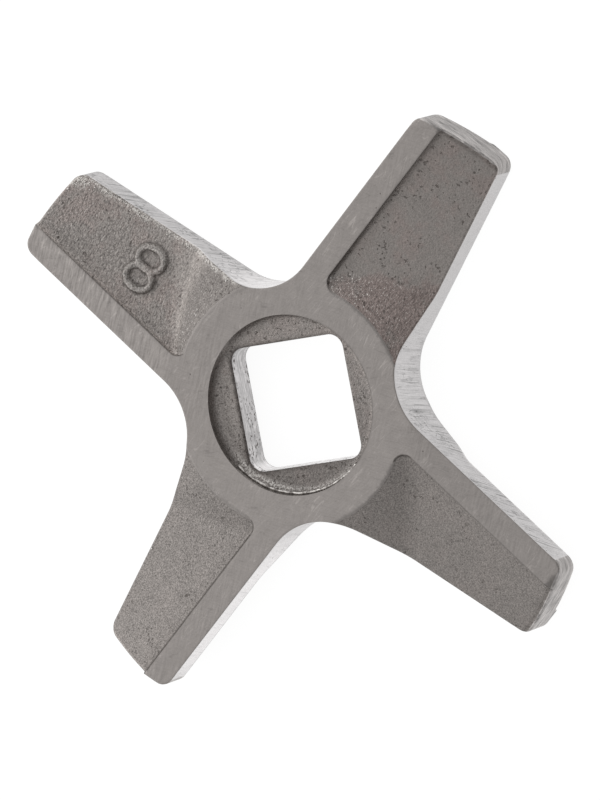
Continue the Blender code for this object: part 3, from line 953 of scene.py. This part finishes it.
def reliefTree():
    graph, ask = newTree("castRelief", relief)
    place = graph.scaled(graph.node("GeometryNodeInputPosition"), 1 / mm)
    grain, free, zone = named(graph, "grain"), named(graph, "free"), named(graph, "zone", "INT")
    heights = []
    for label, mask in (("Grain", grain * free), ("Wave", free)):
        noise = graph.noise(place, ask[label + " Scale"], 2.0, offset=ask["Seed"])
        heights.append((noise - 1) * ask[label + " Height"] * mask)
    offset = graph.scaled(graph.node("GeometryNodeInputNormal"), (heights[0] + heights[1]) * mm)
    shape = graph.node("GeometryNodeSetPosition", {}, {"Geometry": ask["Geometry"], "Offset": offset})
    same = {"data_type": "INT", "operation": "EQUAL"}
    chosen = [graph.node("FunctionNodeCompare", same, {"A": zone, "B": i}) for i in range(len(finishes))]
    return closeTree(graph, shape, zip(chosen, finishes))


def onCasting(piece):  # a rigid piece of the knife
    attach(piece, "root")
    heights = [round(vertex.co.z / mm, 3) for vertex in piece.data.vertices]
    print(piece.name + ":", len(piece.data.polygons), "faces, from", min(heights), "to", max(heights), "mm")


knife = applied(casting, reliefTree(), relief, "knifeCasting")
knife.data.set_sharp_from_angle(angle=math.radians(48))
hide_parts("knife")
onCasting(knife)


# Crumbs of sand and metal left on the skin, along the far edge of the numbered blade most of all

crumbs = {
    "Spacing": 0.11 * mm,
    "Density": 90 / mm ** 2,
    "Least Size": 0.03 * mm,
    "Greatest Size": 0.08 * mm,
    "Dent Scale": 1.3,
    "Seed": 3,
}


def crumbMaterial():
    f = Finish("crumbSteel")
    tone = f.grain(3.2, 2, 0.7, offset=2.0)
    colour = f.mix(tone.span(0.36, 0.5), steel["cast"], steel["glint"])
    rough = 0.5 - tone.span(0.4, 0.6) * 0.15
    return f.close(colour, rough, 0.4, f.grain(14.0, 2, offset=5.0) * 0.02)


def crumbTree():
    graph, ask = newTree("castCrumbs", crumbs)
    values = {"Mesh": ask["Geometry"], "Distance Min": ask["Spacing"], "Density Max": ask["Density"],
              "Density Factor": named(graph, "sown"), "Seed": ask["Seed"]}
    points = graph.node("GeometryNodeDistributePointsOnFaces", {"distribute_method": "POISSON"},
                        values, "Points")
    ball = graph.node("GeometryNodeMeshIcoSphere", {}, {"Radius": 1.0, "Subdivisions": 1}, "Mesh")
    dents = graph.node("ShaderNodeTexNoise", {}, {"Scale": ask["Dent Scale"], "Detail": 1.0}, "Color")
    push = graph.vector("SUBTRACT", {0: dents, 1: (0.5,) * 3})
    grain = graph.node("GeometryNodeSetPosition", {}, {"Geometry": ball, "Offset": push})
    grain = graph.node("GeometryNodeSetShadeSmooth", {}, {"Geometry": grain})
    size = graph.node("FunctionNodeRandomValue", {"data_type": "FLOAT"},
                      {"Min": ask["Least Size"], "Max": ask["Greatest Size"], "Seed": ask["Seed"]}, "Value")
    turn = graph.node("FunctionNodeRandomValue", {"data_type": "FLOAT_VECTOR"},
                      {"Max": (math.tau,) * 3, "Seed": ask["Seed"]}, "Value")
    shape = graph.node("GeometryNodeInstanceOnPoints", {},
                       {"Points": points, "Instance": grain, "Rotation": turn, "Scale": size})
    return closeTree(graph, shape, [(True, crumbMaterial())])


onCasting(applied(knife, crumbTree(), crumbs, "castCrumbs"))


# The ragged flash that stands in the recess, along its lower rim

flash = {
    "Radius": 7.3 * mm,
    "Height": thickness * mm - 0.55 * mm,
    "Start Angle": math.radians(-144),
    "Sweep Angle": math.radians(94),
    "Resolution": 220,
    "Thickness": 0.13 * mm,
    "Sides": 7,
    "Waver": 0.2 * mm,
    "Waver Scale": 1.3,
    "Swell Scale": 2.4,
    "Least Swell": 0.12,
    "Seed": 5.0,
}


def flashMaterial():
    f = Finish("flashSteel")
    tone = f.grain(3.2, 3, 0.7, offset=3.0)
    colour = f.mix(tone.span(0.44, 0.58), steel["cast"], steel["bright"])
    return f.close(colour, 0.5 - tone.span(0.5, 0.6) * 0.15, 1.0, tone * 0.06)


def flashTree():
    graph, ask = newTree("recessFlash", flash)
    values = {name: ask[name] for name in ("Radius", "Start Angle", "Sweep Angle", "Resolution")}
    arc = graph.node("GeometryNodeCurveArc", {}, values, "Curve")
    place = graph.scaled(graph.node("GeometryNodeInputPosition"), 1 / mm)
    wobble = graph.noise(place, ask["Waver Scale"], 4.0, offset=ask["Seed"], output="Color")
    wobble = graph.scaled(graph.vector("SUBTRACT", {0: wobble, 1: (0.5,) * 3}), ask["Waver"])
    lift = graph.node("ShaderNodeCombineXYZ", {}, {"Z": ask["Height"]})
    path = graph.node("GeometryNodeSetPosition", {}, {"Geometry": arc, "Offset": wobble})
    path = graph.node("GeometryNodeSetPosition", {}, {"Geometry": path, "Offset": lift})
    swell = graph.noise(place, ask["Swell Scale"], 3.0, offset=ask["Seed"] + 4).span(0.4, 0.62)
    swell = swell + ask["Least Swell"]
    path = graph.node("GeometryNodeSetCurveRadius", {}, {"Curve": path, "Radius": swell})
    section = graph.node("GeometryNodeCurvePrimitiveCircle", {},
                         {"Resolution": ask["Sides"], "Radius": ask["Thickness"]}, "Curve")
    values = {"Curve": path, "Profile Curve": section, "Fill Caps": True}
    return closeTree(graph, graph.node("GeometryNodeCurveToMesh", {}, values), [(True, flashMaterial())])


onCasting(applied(knife, flashTree(), flash, "recessFlash"))
bpy.data.objects.remove(casting)


# Stage, lamp and camera

stage = {
    "floorSize": 1.6,
    "floorGap": 0.01,  # millimetres under the lands, so that no two faces share a plane
    "floorColour": (0.9, 0.9, 0.9),
    "floorGlow": 0.93,  # share of the floor's white that no shadow takes away
    "floorSoft": 0.16,
    "worldToward": (160, 0),  # azimuth and elevation of the brightest side
    "worldLow": 0.27,
    "worldHigh": 1.21,
}

lamps = {  # azimuth and elevation in degrees, distance and size in metres, power in watts
    "lowSoftbox": {"azimuth": 165, "elevation": 20, "distance": 0.55, "width": 0.6, "height": 0.3,
                   "power": 0.5},
}

view = {  # millimetres and degrees, worked out from the photograph's perspective
    "target": (1.03, 0.30, 5.0),
    "azimuth": 7.77,
    "elevation": 62.39,
    "roll": -107.53,
    "distance": 656.0,
    "lens": 363.1,
}


def direction(azimuth, elevation):
    a, e = math.radians(azimuth), math.radians(elevation)
    return Vector((math.cos(e) * math.cos(a), math.cos(e) * math.sin(a), math.sin(e)))


def facing(back, roll=0.0):  # a rotation that looks against this direction
    right = Vector((0, 0, 1)).cross(back).normalized()
    up = back.cross(right)
    turn = math.radians(roll)
    right, up = right * math.cos(turn) + up * math.sin(turn), up * math.cos(turn) - right * math.sin(turn)
    return Matrix((right, up, back)).transposed().to_4x4()


def litFloor():  # white wherever it is seen, and plain to the light
    f = Surface(bpy.data.materials.new("paleFloor"))
    camera, glossy, through = (f.node("ShaderNodeLightPath", output=f"Is {kind} Ray")
                               for kind in ("Camera", "Glossy", "Transmission"))
    seen = f.math("MAXIMUM", f.math("MAXIMUM", camera, glossy), through)
    plain = f.node("ShaderNodeBsdfDiffuse", {}, {"Color": (*stage["floorColour"], 1)})
    glow = f.node("ShaderNodeEmission", {}, {"Color": (1, 1, 1, 1), "Strength": stage["floorGlow"]})
    soft = f.node("ShaderNodeBsdfDiffuse", {}, {"Color": (*(stage["floorSoft"],) * 3, 1)})
    white = f.node("ShaderNodeAddShader", {}, {0: glow, 1: soft})
    return f.end(f.node("ShaderNodeMixShader", {}, {0: seen, 1: plain, 2: white}))


def buildStage():
    half, low = stage["floorSize"] / 2, -stage["floorGap"] * mm
    corners = [(x * half, y * half, low) for x, y in ((-1, -1), (1, -1), (1, 1), (-1, 1))]
    floor = meshObject("floor", np.array(corners), [(0, 1, 2, 3)])
    floor.data.materials.append(litFloor())
    w = Surface(bpy.data.worlds.new("studio"))
    values = {0: w.node("ShaderNodeTexCoord", output="Generated"), 1: direction(*stage["worldToward"])}
    toward = w.vector("DOT_PRODUCT", values, "Value")
    low, high = stage["worldLow"], stage["worldHigh"]
    light = toward * ((high - low) / 2) + (high + low) / 2
    shader = w.node("ShaderNodeBackground", {}, {"Color": (1, 1, 1, 1), "Strength": light})
    bpy.context.scene.world = w.end(shader, "ShaderNodeOutputWorld")
    for name, lamp in lamps.items():
        data = bpy.data.lights.new(name, "AREA")
        data.shape, data.energy = "RECTANGLE", lamp["power"]
        data.size, data.size_y = lamp["width"], lamp["height"]
        back = direction(lamp["azimuth"], lamp["elevation"])
        linked(name, data).matrix_world = Matrix.Translation(back * lamp["distance"]) @ facing(back)


def buildCamera():
    data = bpy.data.cameras.new("camera")
    data.lens, data.clip_start, data.clip_end = view["lens"], 0.01, 10
    back = direction(view["azimuth"], view["elevation"])
    place = Vector(view["target"]) * mm + back * view["distance"] * mm
    camera = linked("camera", data)
    camera.matrix_world = Matrix.Translation(place) @ facing(back, view["roll"])
    bpy.context.scene.camera = camera


buildStage()
buildCamera()
bpy.context.scene.view_settings.view_transform = "Standard"
print("stage and camera set")
